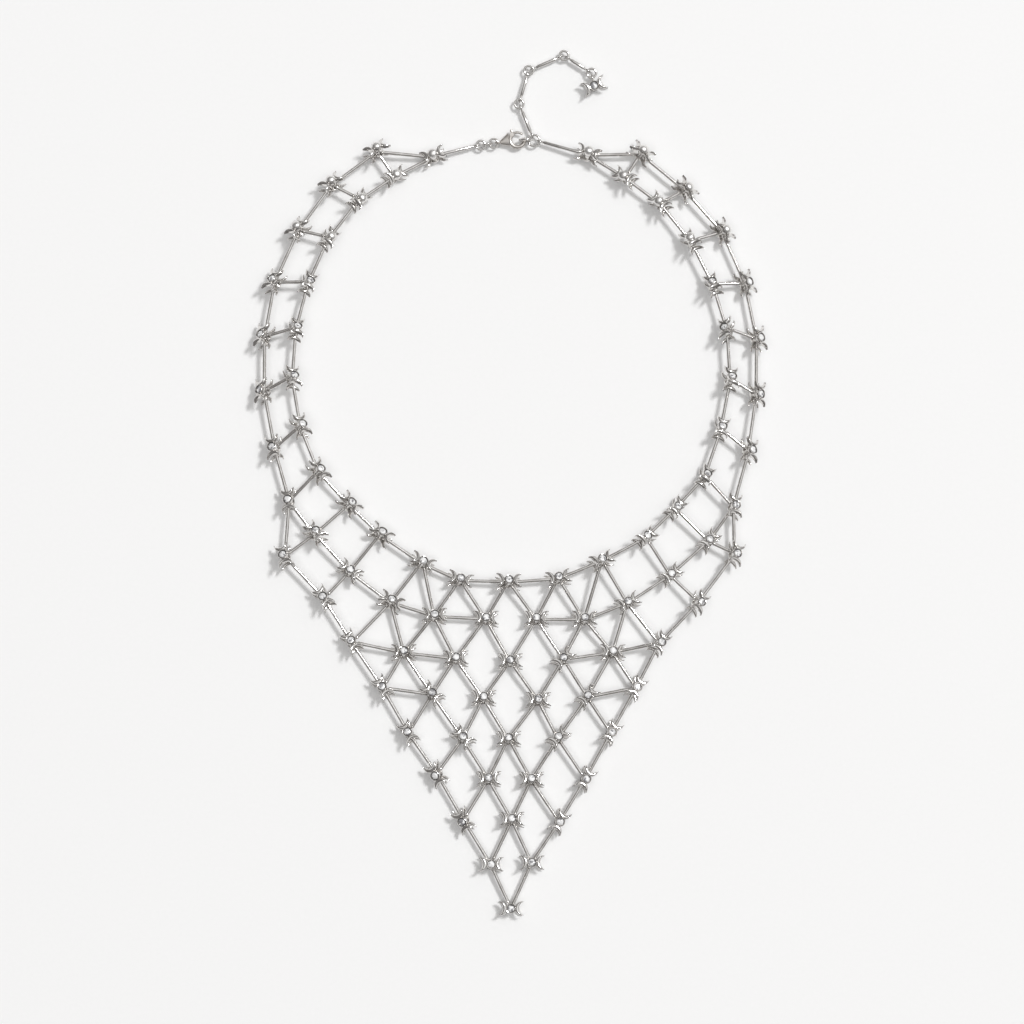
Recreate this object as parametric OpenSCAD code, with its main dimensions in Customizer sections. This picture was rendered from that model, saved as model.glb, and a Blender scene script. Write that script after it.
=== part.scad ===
// Bib necklace lying flat: a silver net of small double-sided moon links,
// joined by straight bars, with a lobster clasp and an extension chain.
// +Y runs toward the clasp, +Z is up, and the table is z = 0. Sizes in mm.

/* [Layout] */
// Straight distance between neighbouring links round the neckline
pitch = 14.1; // [11:0.1:18]
// Turn round the neck circle from one neckline link to the next, in degrees
neck_step = 12.3; // [11:0.1:12.6]
// How far the outer rail stands outside the neckline
rail_gap = 8.1; // [7:0.1:11]
// How far the row under the neckline stands outside it
row_gap = 13.4; // [11:0.1:17]
// Height of the first row of the bib's lattice
lattice_rise = 11.1; // [9:0.1:14]
// Half the width of a lattice cell in the row at the foot of the neckline
lattice_half = 8.3; // [7:0.1:10]

/* [Moon links] */
// Diameter of the round setting in the middle of a link
setting_d = 3; // [2.4:0.1:3.4]
// Diameter of the post that the bars meet
post_d = 1.8; // [1.4:0.1:2.2]
// Outside diameter of a crescent
moon_d = 4.2; // [3.6:0.1:4.6]
// Diameter of the circle cut out of a crescent
moon_cut_d = 4.58; // [4:0.01:5]
// How far the cut stands outward from the crescent's own centre
moon_cut_shift = 1.54; // [1.3:0.01:1.8]
// Distance from the link's middle to a crescent's centre
moon_reach = 3.25; // [3:0.05:3.6]
// Height of the front crescents' backs above the middle of the bars
moon_front_z = 1.25; // [1.15:0.05:2]
// Thickness of a front crescent
moon_front_t = 1; // [0.8:0.05:1.4]
// Depth of a link below the middle of the bars
back_depth = 1.6; // [1.4:0.05:2]
// Thickness of the back disc and the back crescents
back_t = 0.75; // [0.6:0.05:0.9]
// Height of the setting's rim above the middle of the bars
face_z = 2.4; // [2.2:0.05:3.4]
// Diameter of the stone's seat
seat_d = 2.3; // [1.8:0.1:2.6]
// Depth of the stone's seat
seat_depth = 0.5; // [0.2:0.05:0.9]
// Diameter of a plain polished dome, at its foot
dome_d = 2.9; // [2:0.1:2.9]
// Height of a plain polished dome above the setting's rim
dome_rise = 1; // [0.4:0.05:1.2]

/* [Bars] */
// Diameter of every bar
bar_d = 1.1; // [0.8:0.05:1.3]
// Clearance between a bar's free end and the link it hooks on
bar_clear = 0.25; // [0.15:0.05:0.5]
// Height of a bar's free end above the middle plane of the link it hooks on
hook_lift = 0.15; // [0:0.05:0.3]

/* [Clasp and extension] */
// Radius of a flat jump ring, to the middle of its wire
ring_r = 1.35; // [1.2:0.05:1.6]
// Diameter of the jump ring wire
ring_wire_d = 0.7; // [0.5:0.05:0.8]
// Radius of the eye at a bar's end, to the middle of its wire
eye_r = 0.8; // [0.75:0.05:1]
// Diameter of the eye's wire
eye_wire_d = 0.6; // [0.4:0.05:0.65]
// Height of the chain's middle above the table
chain_z = 1.8; // [1.6:0.05:2.2]
// Radius of the clasp's claw, to the middle of its wire
claw_r = 2.2; // [2:0.05:2.6]
// Thickness of the claw
claw_d = 1.3; // [1:0.05:1.5]
// Thickness of the clasp's lever
lever_d = 0.9; // [0.7:0.05:1.1]
// Diameter of the lever's hinge pin
pin_d = 0.6; // [0.4:0.05:0.8]
// Clearance of the lever on its pin and beside its cheeks
hinge_clear = 0.1; // [0.05:0.01:0.2]

/* [Hidden] */
$fn = 48;

// Where the middle of the whole outline lies, measured from the neck circle's middle.
outline_middle = [-0.18, -35.95];
// Every length of the drawn lay follows the pitch.
lay = pitch / 14.1;
neck_r = pitch / (2 * sin(neck_step / 2));
neck_links = 13;
max_lean = 48;

// Each row: where the setting's face lies from its place in the rule, then how far
// the face leans from the link's foot. Both as [x, y] in the two pairs.
neck_left_lie = [
    [-1.0, 1.0, -0.4, 0.9], [1.2, 1.0, 0.9, 0.8], [2.0, 2.7, 1.4, 0.9],
    [1.7, 2.2, 1.3, 1.0], [1.7, 1.7, 1.0, 1.3], [1.4, 1.7, 0.8, 1.5],
    [1.0, 1.1, 0.9, 1.4], [1.0, 0.4, 1.0, 1.2], [1.1, 0.0, 1.1, 1.2],
    [2.4, 1.6, 1.2, 1.2], [1.2, 2.4, 0.9, 1.4], [1.3, 0.8, 0.7, 1.1],
    [-0.9, 0.0, 0.5, 1.0]
];
neck_right_lie = [
    [0.7, 1.9, 0.3, 1.3], [-1.8, 0.7, -0.8, 0.8], [-2.2, 1.9, -0.6, 1.0],
    [-1.8, 1.9, -0.6, 1.5], [-1.5, 1.5, -0.5, 1.6], [-1.5, 1.3, -1.1, 1.2],
    [0.7, 0.8, 0.7, 1.4], [0.3, -0.3, 0.6, 1.3], [1.2, -1.4, 1.0, 1.4],
    [0.4, 0.3, 1.0, 1.0], [1.6, 1.2, 0.9, 1.1], [0.1, 1.5, 0.5, 1.2],
    [0.4, 0.5, 0.35, 0.95], [-0.5, 1.1, 0.4, 1.1]
];
rail_left_lie = [
    [-0.4, 2.8, -0.2, 1.7], [-1.2, 3.2, -0.3, 1.6], [-1.4, 2.6, -0.7, 1.5],
    [-1.7, 1.9, -0.9, 1.4], [-1.7, 1.5, -1.4, 1.0], [-2.3, 1.3, -1.6, 0.6],
    [-1.2, 0.9, -0.9, 0.7], [-0.8, 2.3, -0.5, 0.7], [-2.1, 0.0, -0.7, 0.9],
    [0.2, 0.7, -0.4, 0.9], [-0.6, 0.8, -0.2, 0.9], [-0.2, 0.8, -0.2, 0.8],
    [-1.1, 0.6, -0.3, 0.6], [-1.0, 0.4, -0.7, -0.4], [-0.6, -0.4, -0.6, -0.4],
    [1.0, 0.2, 0.2, 0.4]
];
rail_right_lie = [
    [-0.1, 1.9, 0.9, 1.4], [0.7, 1.1, 1.4, 1.0], [1.8, 1.5, 1.5, 0.8],
    [1.7, 0.9, 1.6, 0.6], [1.6, 0.4, 1.5, 0.6], [1.8, 0.0, 1.6, 0.2],
    [2.1, 0.0, 1.5, 0.6], [1.3, 0.7, 0.9, 0.9], [1.6, 0.3, 1.0, 0.6],
    [0.6, -1.0, 1.3, 0.6], [-2.1, 0.3, 0.9, 0.8], [-0.5, 0.6, 0.5, 0.6],
    [0.4, 0.5, 0.4, 0.5], [0.8, -0.4, 0.4, 0.3], [0.6, -0.2, 0.3, 0.3],
    [-0.6, 0.7, 0.1, 0.4], [0.0, 0.0, 0.0, 0.2]
];
row_left_lie = [
    [0.1, 0.9, 0.1, 0.9], [-0.6, 1.0, 0.3, 1.0], [0.4, 0.1, 0.6, 1.4],
    [0.4, 1.0, 0.4, 1.0], [0.7, 2.8, 0.2, 1.5]
];
row_right_lie = [
    [0.1, 0.9, 0.1, 0.9], [0.0, 0.0, 0.3, 1.0], [-0.8, -0.6, 0.3, 0.9],
    [-0.2, -0.2, 0.5, 0.8], [0.4, 0.0, 0.4, 0.9]
];
// The lattice inside the edges: row, place across, the same two pairs, and heading.
inside_lie = [
    [2, 0, -0.2, -0.2, 0.1, 0.9, 0], [2, -2, -0.7, 0.1, 0.1, 0.9, 0],
    [2, 2, 0.0, 0.0, 0.2, 0.9, 45], [2, -4, -0.5, 0.4, 0.1, 1.0, 0],
    [2, 4, -0.9, 0.4, 0.3, 0.9, 0], [3, -3, -0.5, 0.8, 0.1, 0.9, -45],
    [3, 3, 0.0, 0.0, 0.2, 0.9, 45], [3, -1, -0.5, 0.5, 0.1, 0.9, 0],
    [3, 1, 0.6, -0.2, 0.2, 0.8, 0], [4, -2, 0.7, 0.4, 0.2, 0.9, -45],
    [4, 2, -0.7, 0.4, 0.2, 0.9, 45], [4, 0, -0.7, 0.4, 0.1, 0.9, 0],
    [5, -1, 0.7, 0.6, 0.2, 0.8, 0], [5, 1, -1.1, 0.4, 0.1, 0.8, 0],
    [6, 0, 0.3, 1.1, 0.1, 0.8, 0]
];

// Rules for the places of the links, all from the middle of the neck circle.
function polar(r, a) = [r * sin(a), -r * cos(a)];
function side(s, p) = [s * p[0], p[1]];
function neck_angle(m) = (neck_links + 1 - m) * neck_step;
function neck_rule(m) = polar(neck_r, neck_angle(m));
function row_angle(j) = 5.6 + 10.7 * j;
function row_rule(j) = polar(neck_r + (row_gap - (j == 0 ? 1.9 : 0)) * lay, row_angle(j));
function flatten_out(n) = min(1, (8 - n) / 6);
function lattice_rule(n, k) = [
    k * (lattice_half - 0.2 * n) * lay,
    -neck_r - (lattice_rise * n + 0.14 * n * n - 0.135 * k * k * flatten_out(n)) * lay
];
function rail_angle(k) = 147.3 - 12.9 * (k - 1);
function rail_rule(k) = k < 9
    ? polar(neck_r + (rail_gap + 1.275 * pow(max(k - 6, 0), 2)) * lay, rail_angle(k))
    : lattice_rule(k - 9, 17 - k);
function way(v) = atan2(v[1], v[0]);
function rail_heading(k) = k > 15 ? 0 : way(rail_rule(max(k - 1, 1)) - rail_rule(min(k + 1, 17)));

// A link's record: foot [x, y], heading of its long axis, lean [x, y].
function link(place, heading, lie) = [
    place + [lie[0] - lie[2], lie[1] - lie[3]], heading, [lie[2], lie[3]]
];
function neck(s, m) = m > neck_links
    ? link(neck_rule(m), 0, neck_right_lie[neck_links])
    : link(side(s, neck_rule(m)), s * neck_angle(m),
        s < 0 ? neck_left_lie[m - 1] : neck_right_lie[m - 1]);
function rail(s, k) = k > 16
    ? link(rail_rule(17), 0, rail_right_lie[16])
    : link(side(s, rail_rule(k)), s * rail_heading(k),
        s < 0 ? rail_left_lie[k - 1] : rail_right_lie[k - 1]);
function row(s, j) = link(side(s, row_rule(j)), j < 2 ? 0 : s * row_angle(j),
    s < 0 ? row_left_lie[j] : row_right_lie[j]);
function lie_at(n, k) = [
    for (v = inside_lie) if (v[0] == n && v[1] == k) [v[2], v[3], v[4], v[5], v[6]]
][0];
function grid(n, k) = link(side(sign(k), lattice_rule(n, abs(k))), lie_at(n, k)[4], lie_at(n, k));

// Lean, height and axis of a link, so that its lowest edge rests on the table.
function lean_angle(c) = min(max_lean, asin(min(1, norm(c[2]) / face_z)));
function tip_x() = (moon_cut_shift * moon_cut_shift + pow(moon_d / 2, 2)
    - pow(moon_cut_d / 2, 2)) / (2 * moon_cut_shift);
function tip_y() = sqrt(pow(moon_d / 2, 2) - tip_x() * tip_x());
function fold(a) = acos(abs(cos(a)));
function reach(a) = a > acos(tip_x() / (moon_d / 2))
    ? moon_reach * cos(a) + moon_d / 2
    : (moon_reach + tip_x()) * cos(a) + tip_y() * sin(a);
function foot_z(c) = back_depth * cos(lean_angle(c))
    + (norm(c[2]) > 0 ? reach(fold(way(c[2]) - c[1])) * sin(lean_angle(c)) : 0);
function foot(c) = [c[0][0], c[0][1], foot_z(c)];
function axis(c) = norm(c[2]) > 0
    ? [for (v = c[2] / norm(c[2]) * sin(lean_angle(c))) v, cos(lean_angle(c))]
    : [0, 0, 1];

// Where a bar that comes from point p has to end, in the plane of a leaning link,
// to clear the link's setting.
function hook_point(c, p) = let (
    v = p - foot(c),
    w = v - axis(c) * (v * axis(c))
) foot(c) + w / norm(w) * (setting_d / 2 + bar_clear) + axis(c) * hook_lift;

// A round rod between two points.
module rod(p, q, d) {
    v = q - p;
    translate(p)
        rotate([0, acos(v[2] / norm(v)), way(v)])
            cylinder(h = norm(v), d = d);
}

module torus(r, d) {
    rotate_extrude()
        translate([r, 0])
            circle(d = d);
}

module crescent(t) {
    difference() {
        cylinder(h = t, d = moon_d);
        translate([moon_cut_shift, 0, -1])
            cylinder(h = t + 2, d = moon_cut_d);
    }
}

module crescent_pair(z, t) {
    for (turn = [0, 180])
        rotate([0, 0, turn])
            translate([moon_reach, 0, z])
                crescent(t);
}

// A link as made: setting, post and back disc, with crescents soldered on both faces.
module moon(stone) {
    difference() {
        union() {
            translate([0, 0, moon_front_z - 0.4])
                cylinder(h = face_z - moon_front_z + 0.4, d = setting_d);
            translate([0, 0, -back_depth])
                cylinder(h = back_depth + moon_front_z, d = post_d);
            translate([0, 0, -back_depth])
                cylinder(h = back_t, d = setting_d - 0.2);
            crescent_pair(moon_front_z, moon_front_t);
            crescent_pair(-back_depth, back_t);
        }
        if (stone)
            translate([0, 0, face_z - seat_depth])
                cylinder(h = seat_depth + 1, d = seat_d);
    }
    if (!stone)
        translate([0, 0, face_z])
            difference() {
                cap_r = (pow(dome_d / 2, 2) + dome_rise * dome_rise) / (2 * dome_rise);
                translate([0, 0, dome_rise - cap_r])
                    sphere(r = cap_r);
                translate([0, 0, -2 * cap_r - 0.05])
                    cylinder(h = 2 * cap_r, r = 2 * cap_r);
            }
}

module moon_at(c, stone = true) {
    translate(foot(c))
        rotate(a = lean_angle(c), v = [-c[2][1], c[2][0], 0.000001])
            rotate([0, 0, c[1]])
                moon(stone);
}

// A bar soldered at both ends, and one that hooks on a link of another piece.
module joined(a, b) {
    rod(foot(a), foot(b), bar_d);
}

module hooked(a, b) {
    rod(foot(a), hook_point(b, foot(a)), bar_d);
}

module neckline(s, last) {
    for (m = [1 : last]) {
        moon_at(neck(s, m), m > 4);
        if (m < last)
            joined(neck(s, m), neck(s, m + 1));
    }
    if (last == neck_links)
        hooked(neck(s, last), neck(s, last + 1));
}

module outer_rail(s, last) {
    for (k = [1 : last]) {
        moon_at(rail(s, k), k > 3);
        if (k < last)
            joined(rail(s, k), rail(s, k + 1));
    }
    for (k = [1 : 8])
        hooked(rail(s, k), neck(s, k + 1));
    hooked(rail(s, 1), neck(s, 1));
    hooked(rail(s, 8), row(s, 4));
    if (last == 16)
        hooked(rail(s, 16), rail(s, 17));
}

module second_row(s) {
    for (j = [3, 4])
        moon_at(row(s, j));
    joined(row(s, 4), row(s, 3));
    hooked(row(s, 3), row(s, 2));
    hooked(row(s, 4), rail(s, 9));
    hooked(row(s, 4), neck(s, 10));
    hooked(row(s, 3), neck(s, 11));
    hooked(row(s, 3), rail(s, 10));
}

// One side of each chevron, soldered link to link down to its point.
module outer_arm(s) {
    arm = [row(s, 2), grid(2, 4 * s), grid(3, 3 * s), grid(4, 2 * s), grid(5, s), grid(6, 0)];
    for (i = [0 : 4])
        moon_at(arm[i]);
    for (i = [0 : 3])
        joined(arm[i], arm[i + 1]);
    hooked(arm[0], neck(s, 12));
    hooked(arm[0], row(s, 1));
    hooked(arm[1], row(s, 1));
    hooked(arm[1], grid(2, 2 * s));
    hooked(arm[2], grid(2, 2 * s));
    hooked(arm[4], grid(4, 0));
    hooked(arm[0], rail(s, 11));
    hooked(arm[1], rail(s, 11));
    hooked(arm[1], rail(s, 12));
    hooked(arm[2], rail(s, 12));
    hooked(arm[2], rail(s, 13));
    hooked(arm[3], rail(s, 14));
    hooked(arm[4], rail(s, 15));
}

module outer_point() {
    moon_at(grid(6, 0));
    joined(grid(5, -1), grid(6, 0));
    hooked(grid(6, 0), rail(-1, 16));
    hooked(grid(6, 0), rail(1, 16));
}

module middle_arm(s) {
    arm = [row(s, 1), grid(2, 2 * s), grid(3, s), grid(4, 0)];
    for (i = [0 : 2]) {
        moon_at(arm[i]);
        joined(arm[i], arm[i + 1]);
    }
    hooked(arm[0], neck(s, 12));
    hooked(arm[0], neck(s, 13));
    hooked(arm[0], row(s, 0));
    hooked(arm[1], row(s, 0));
    hooked(arm[2], grid(2, 0));
    hooked(arm[2], grid(4, 2 * s));
}

module inner_arm(s) {
    moon_at(row(s, 0));
    joined(row(s, 0), grid(2, 0));
    hooked(row(s, 0), neck(s, 13));
    hooked(row(s, 0), neck(s, 14));
}

// Where the chain behind the neck runs, from the left end to the right.
left_eye = [-10.4, 65.3, chain_z];
clasp_eye = [-3.9, 66.2, chain_z];
claw_middle = [1.9, 67.1, chain_z];
small_ring_r = 1.45;
hook_ring_r = 1.85;
end_ring_r = 1.7;
hook_ring = claw_middle + [2.55, -0.1, 0.4];
end_ring = hook_ring + [hook_ring_r + end_ring_r - 1.05, -0.15, -0.4];
right_eye = end_ring + [end_ring_r, -0.25, 0];
ring_1 = [2.4, 77.9, chain_z];
ring_2 = [5.3, 87.9, chain_z];
ring_3 = [15.9, 92.4, chain_z];
ring_4 = [24.2, 87.1, chain_z];
charm = [[24.9, 83.2], 22, [0, 0]];

module flat_ring(p, r) {
    translate(p)
        torus(r, ring_wire_d);
}

module upright_ring(p, r, heading, d) {
    translate(p)
        rotate([90, 0, heading])
            torus(r, d);
}

// A bar with an upright eye at each end it is given.
module eyed_bar(p, q, eye_at_q) {
    v = q - p;
    d = v / norm(v);
    upright_ring(p, eye_r, way(v), eye_wire_d);
    if (eye_at_q)
        upright_ring(q, eye_r, way(v), eye_wire_d);
    rod(p + d * eye_r, q - (eye_at_q ? d * eye_r : [0, 0, 0]), bar_d);
}

module end_bar(eye, c) {
    eyed_bar(eye, hook_point(c, eye), false);
}

module link_bar(from, from_r, to) {
    v = to - from;
    d = v / norm(v);
    eyed_bar(from + d * from_r, to - d * ring_r, true);
}

hinge_at = 138;
nose_at = 20;
hinge = [claw_r * cos(hinge_at), claw_r * sin(hinge_at), 0];
knuckle_t = 0.7;
knuckle_d = 1.5;
cheek_t = 0.45;

module arc_rod(from, to, d) {
    rotate([0, 0, from])
        rotate_extrude(angle = to - from)
            translate([claw_r, 0])
                circle(d = d);
}

module clasp_body() {
    tail = clasp_eye - claw_middle;
    translate(claw_middle) {
        arc_rod(-200, nose_at, claw_d);
        translate(tail + [eye_r, 0, 0])
            rotate([0, 90, way([-claw_r, 0] - [tail[0] + eye_r, tail[1]])])
                cylinder(h = -claw_r - tail[0] - eye_r + 0.2, d1 = 1.1, d2 = 1.9);
        translate(tail)
            rotate([90, 0, 0])
                torus(eye_r, eye_wire_d);
        for (z = [knuckle_t / 2 + hinge_clear, -knuckle_t / 2 - hinge_clear - cheek_t])
            translate([0, 0, z]) {
                translate(hinge)
                    cylinder(h = cheek_t, d = knuckle_d);
                linear_extrude(cheek_t)
                    polygon([[hinge[0] - 0.7, hinge[1] + 0.2], [-claw_r - 0.3, 0.4],
                        [-claw_r + 0.5, 0.2], [hinge[0] + 0.1, hinge[1] - 0.6]]);
            }
        translate(hinge - [0, 0, knuckle_t / 2 + hinge_clear + cheek_t / 2])
            cylinder(h = knuckle_t + 2 * hinge_clear + cheek_t, d = pin_d);
    }
}

module clasp_lever() {
    translate(claw_middle) {
        difference() {
            union() {
                translate(hinge - [0, 0, knuckle_t / 2])
                    cylinder(h = knuckle_t, d = knuckle_d);
                intersection() {
                    arc_rod(nose_at + 24, hinge_at, lever_d);
                    translate([0, 0, -knuckle_t / 2])
                        cylinder(h = knuckle_t, r = claw_r * 2);
                }
                rotate([0, 0, hinge_at - 14])
                    translate([claw_r, 0, 0])
                        rotate([0, 90, 0])
                            cylinder(h = 1, d = knuckle_t);
                rotate([0, 0, hinge_at - 14])
                    translate([claw_r + 1, 0, 0])
                        sphere(d = knuckle_t + 0.2);
            }
            translate(hinge - [0, 0, knuckle_t])
                cylinder(h = 2 * knuckle_t, d = pin_d + 2 * hinge_clear);
        }
    }
}

module clasp_rings() {
    run = clasp_eye - left_eye;
    d = run / norm(run);
    flat_ring(left_eye + d * ring_r, ring_r);
    upright_ring(left_eye + run / 2, small_ring_r, way(run), ring_wire_d - 0.1);
    flat_ring(clasp_eye - d * ring_r, ring_r);
}

module chain_rings() {
    upright_ring(hook_ring, hook_ring_r, 0, ring_wire_d);
    flat_ring(end_ring, end_ring_r);
    for (p = [ring_1, ring_2, ring_3, ring_4])
        flat_ring(p, ring_r);
}

module end_charm() {
    v = foot(charm) - ring_4;
    d = v / norm(v);
    moon_at(charm);
    upright_ring(ring_4 + d * ring_r, eye_r, way(v), eye_wire_d);
    rod(ring_4 + d * (ring_r + eye_r), foot(charm), bar_d - 0.2);
}

module neckline_left() {
    color("silver")
        neckline(-1, neck_links);
}

module neckline_right() {
    color("silver")
        neckline(1, neck_links + 1);
}

module outer_rail_left() {
    color("silver")
        outer_rail(-1, 16);
}

module outer_rail_right() {
    color("silver")
        outer_rail(1, 17);
}

module second_row_left() {
    color("silver")
        second_row(-1);
}

module second_row_right() {
    color("silver")
        second_row(1);
}

module outer_chevron_left() {
    color("silver") {
        outer_arm(-1);
        outer_point();
    }
}

module outer_chevron_right() {
    color("silver") {
        outer_arm(1);
        hooked(grid(5, 1), grid(6, 0));
    }
}

module middle_chevron() {
    color("silver") {
        middle_arm(-1);
        middle_arm(1);
        moon_at(grid(4, 0));
    }
}

module inner_chevron() {
    color("silver") {
        inner_arm(-1);
        inner_arm(1);
        moon_at(grid(2, 0));
    }
}

module end_bar_left() {
    color("silver")
        end_bar(left_eye, neck(-1, 1));
}

module end_bar_right() {
    color("silver")
        end_bar(right_eye, neck(1, 1));
}

module extension_bar_1() {
    color("silver")
        link_bar(end_ring, end_ring_r, ring_1);
}

module extension_bar_2() {
    color("silver")
        link_bar(ring_1, ring_r, ring_2);
}

module extension_bar_3() {
    color("silver")
        link_bar(ring_2, ring_r, ring_3);
}

module extension_bar_4() {
    color("silver")
        link_bar(ring_3, ring_r, ring_4);
}

translate([-outline_middle[0], -outline_middle[1], 0]) {
    neckline_left();
    neckline_right();
    outer_rail_left();
    outer_rail_right();
    second_row_left();
    second_row_right();
    outer_chevron_left();
    outer_chevron_right();
    middle_chevron();
    inner_chevron();
    end_bar_left();
    end_bar_right();
    clasp_body();
    clasp_lever();
    clasp_rings();
    chain_rings();
    extension_bar_1();
    extension_bar_2();
    extension_bar_3();
    extension_bar_4();
    end_charm();
}
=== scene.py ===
"""Bib necklace of polished silver, lying flat on a pale table.

A net of double-sided moon links joined by straight bars, a lobster clasp and an
extension chain. Every place below follows the same rules as the solid model, in mm,
measured from the middle of the neck circle, and is turned into metres at the end.
"""

import math

import bmesh
import bpy
from mathutils import Matrix, Vector


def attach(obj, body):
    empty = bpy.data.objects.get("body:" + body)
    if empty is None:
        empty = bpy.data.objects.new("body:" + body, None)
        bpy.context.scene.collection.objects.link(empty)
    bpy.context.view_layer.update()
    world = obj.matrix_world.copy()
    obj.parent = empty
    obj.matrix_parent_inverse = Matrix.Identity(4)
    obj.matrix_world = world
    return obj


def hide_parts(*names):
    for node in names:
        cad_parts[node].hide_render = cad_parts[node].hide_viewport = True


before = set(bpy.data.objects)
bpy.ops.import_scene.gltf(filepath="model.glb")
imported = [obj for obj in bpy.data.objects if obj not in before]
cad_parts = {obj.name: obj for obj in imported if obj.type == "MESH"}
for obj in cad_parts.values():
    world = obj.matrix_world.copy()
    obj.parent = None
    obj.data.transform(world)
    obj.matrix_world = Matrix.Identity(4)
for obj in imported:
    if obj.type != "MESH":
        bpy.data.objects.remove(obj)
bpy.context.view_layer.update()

MM = 0.001
# The middle of the whole outline, where the part stands at the origin.
OUTLINE_MIDDLE = Vector((-0.18, -35.95, 0))

# ---------------------------------------------------------------- the lay
# The neckline: links at equal steps round a circle, counted from the clasp down.
PITCH = 14.1
NECK_STEP = 12.3
NECK_LINKS = 13
NECK_R = PITCH / (2 * math.sin(math.radians(NECK_STEP / 2)))
# The second row: its distance out, its angles, and how far its first link is drawn in.
ROW_GAP = 13.4
ROW_FIRST, ROW_STEP = 5.6, 10.7
ROW_DRAWN_IN = 1.9
# The outer rail beside the neckline: its distance out, its angles, and how it spreads.
RAIL_GAP = 8.1
RAIL_FIRST, RAIL_STEP = 147.3, 12.9
RAIL_SPREADS_FROM, RAIL_SPREAD = 6, 1.275
RAIL_SIDE_LINKS = 8
RAIL_LAST = 17
# The lattice: the height of a row, half the step across it, and how both change.
LATTICE_RISE, LATTICE_STRETCH = 11.1, 0.14
LATTICE_HALF, LATTICE_NARROW = 8.3, 0.2
# A row sags toward its ends, and less so from row to row until none is left.
LATTICE_CURVE, LATTICE_FLAT_ROW, LATTICE_FLATTENS_OVER = 0.135, 8, 6
# Links with a plain dome, counted down from the clasp on either side.
PLAIN_NECK, PLAIN_RAIL = 4, 3

# ---------------------------------------------------------------- the link
# Heights are from the middle plane of the bars.
BACK_DEPTH, FACE_Z = 1.6, 2.4
MAX_LEAN = math.radians(48)
FRONT_Z, FRONT_T, BACK_T = 1.2, 1.12, 0.8
SETTING_R = 1.5
# A crescent is a disc less a larger disc, set out from the link's middle.
MOON_R, MOON_CUT_R, MOON_CUT_SHIFT, MOON_REACH = 2.1, 2.29, 1.54, 3.25
# Half the least width of its horns, then how its height falls where it narrows.
HORN_HALF, HORN_THIN, HORN_SWELL = 0.15, 0.45, 1.25
# A bar stops this far from a setting, a little above the middle plane.
BAR_R, BAR_CLEAR, HOOK_LIFT = 0.55, 0.25, 0.15
TIP_X = (MOON_CUT_SHIFT**2 + MOON_R**2 - MOON_CUT_R**2) / (2 * MOON_CUT_SHIFT)
TIP_Y = math.sqrt(MOON_R**2 - TIP_X**2)

# Each link: where its face lies from its place in the rule, then how far it leans.
NECK_LEFT = [
    (-1.0, 1.0, -0.4, 0.9), (1.2, 1.0, 0.9, 0.8), (2.0, 2.7, 1.4, 0.9),
    (1.7, 2.2, 1.3, 1.0), (1.7, 1.7, 1.0, 1.3), (1.4, 1.7, 0.8, 1.5),
    (1.0, 1.1, 0.9, 1.4), (1.0, 0.4, 1.0, 1.2), (1.1, 0.0, 1.1, 1.2),
    (2.4, 1.6, 1.2, 1.2), (1.2, 2.4, 0.9, 1.4), (1.3, 0.8, 0.7, 1.1),
    (-0.9, 0.0, 0.5, 1.0),
]
NECK_RIGHT = [
    (0.7, 1.9, 0.3, 1.3), (-1.8, 0.7, -0.8, 0.8), (-2.2, 1.9, -0.6, 1.0),
    (-1.8, 1.9, -0.6, 1.5), (-1.5, 1.5, -0.5, 1.6), (-1.5, 1.3, -1.1, 1.2),
    (0.7, 0.8, 0.7, 1.4), (0.3, -0.3, 0.6, 1.3), (1.2, -1.4, 1.0, 1.4),
    (0.4, 0.3, 1.0, 1.0), (1.6, 1.2, 0.9, 1.1), (0.1, 1.5, 0.5, 1.2),
    (0.4, 0.5, 0.35, 0.95), (-0.5, 1.1, 0.4, 1.1),
]
RAIL_LEFT = [
    (-0.4, 2.8, -0.2, 1.7), (-1.2, 3.2, -0.3, 1.6), (-1.4, 2.6, -0.7, 1.5),
    (-1.7, 1.9, -0.9, 1.4), (-1.7, 1.5, -1.4, 1.0), (-2.3, 1.3, -1.6, 0.6),
    (-1.2, 0.9, -0.9, 0.7), (-0.8, 2.3, -0.5, 0.7), (-2.1, 0.0, -0.7, 0.9),
    (0.2, 0.7, -0.4, 0.9), (-0.6, 0.8, -0.2, 0.9), (-0.2, 0.8, -0.2, 0.8),
    (-1.1, 0.6, -0.3, 0.6), (-1.0, 0.4, -0.7, -0.4), (-0.6, -0.4, -0.6, -0.4),
    (1.0, 0.2, 0.2, 0.4),
]
RAIL_RIGHT = [
    (-0.1, 1.9, 0.9, 1.4), (0.7, 1.1, 1.4, 1.0), (1.8, 1.5, 1.5, 0.8),
    (1.7, 0.9, 1.6, 0.6), (1.6, 0.4, 1.5, 0.6), (1.8, 0.0, 1.6, 0.2),
    (2.1, 0.0, 1.5, 0.6), (1.3, 0.7, 0.9, 0.9), (1.6, 0.3, 1.0, 0.6),
    (0.6, -1.0, 1.3, 0.6), (-2.1, 0.3, 0.9, 0.8), (-0.5, 0.6, 0.5, 0.6),
    (0.4, 0.5, 0.4, 0.5), (0.8, -0.4, 0.4, 0.3), (0.6, -0.2, 0.3, 0.3),
    (-0.6, 0.7, 0.1, 0.4), (0.0, 0.0, 0.0, 0.2),
]
ROW_LEFT = [
    (0.1, 0.9, 0.1, 0.9), (-0.6, 1.0, 0.3, 1.0), (0.4, 0.1, 0.6, 1.4),
    (0.4, 1.0, 0.4, 1.0), (0.7, 2.8, 0.2, 1.5),
]
ROW_RIGHT = [
    (0.1, 0.9, 0.1, 0.9), (0.0, 0.0, 0.3, 1.0), (-0.8, -0.6, 0.3, 0.9),
    (-0.2, -0.2, 0.5, 0.8), (0.4, 0.0, 0.4, 0.9),
]
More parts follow.
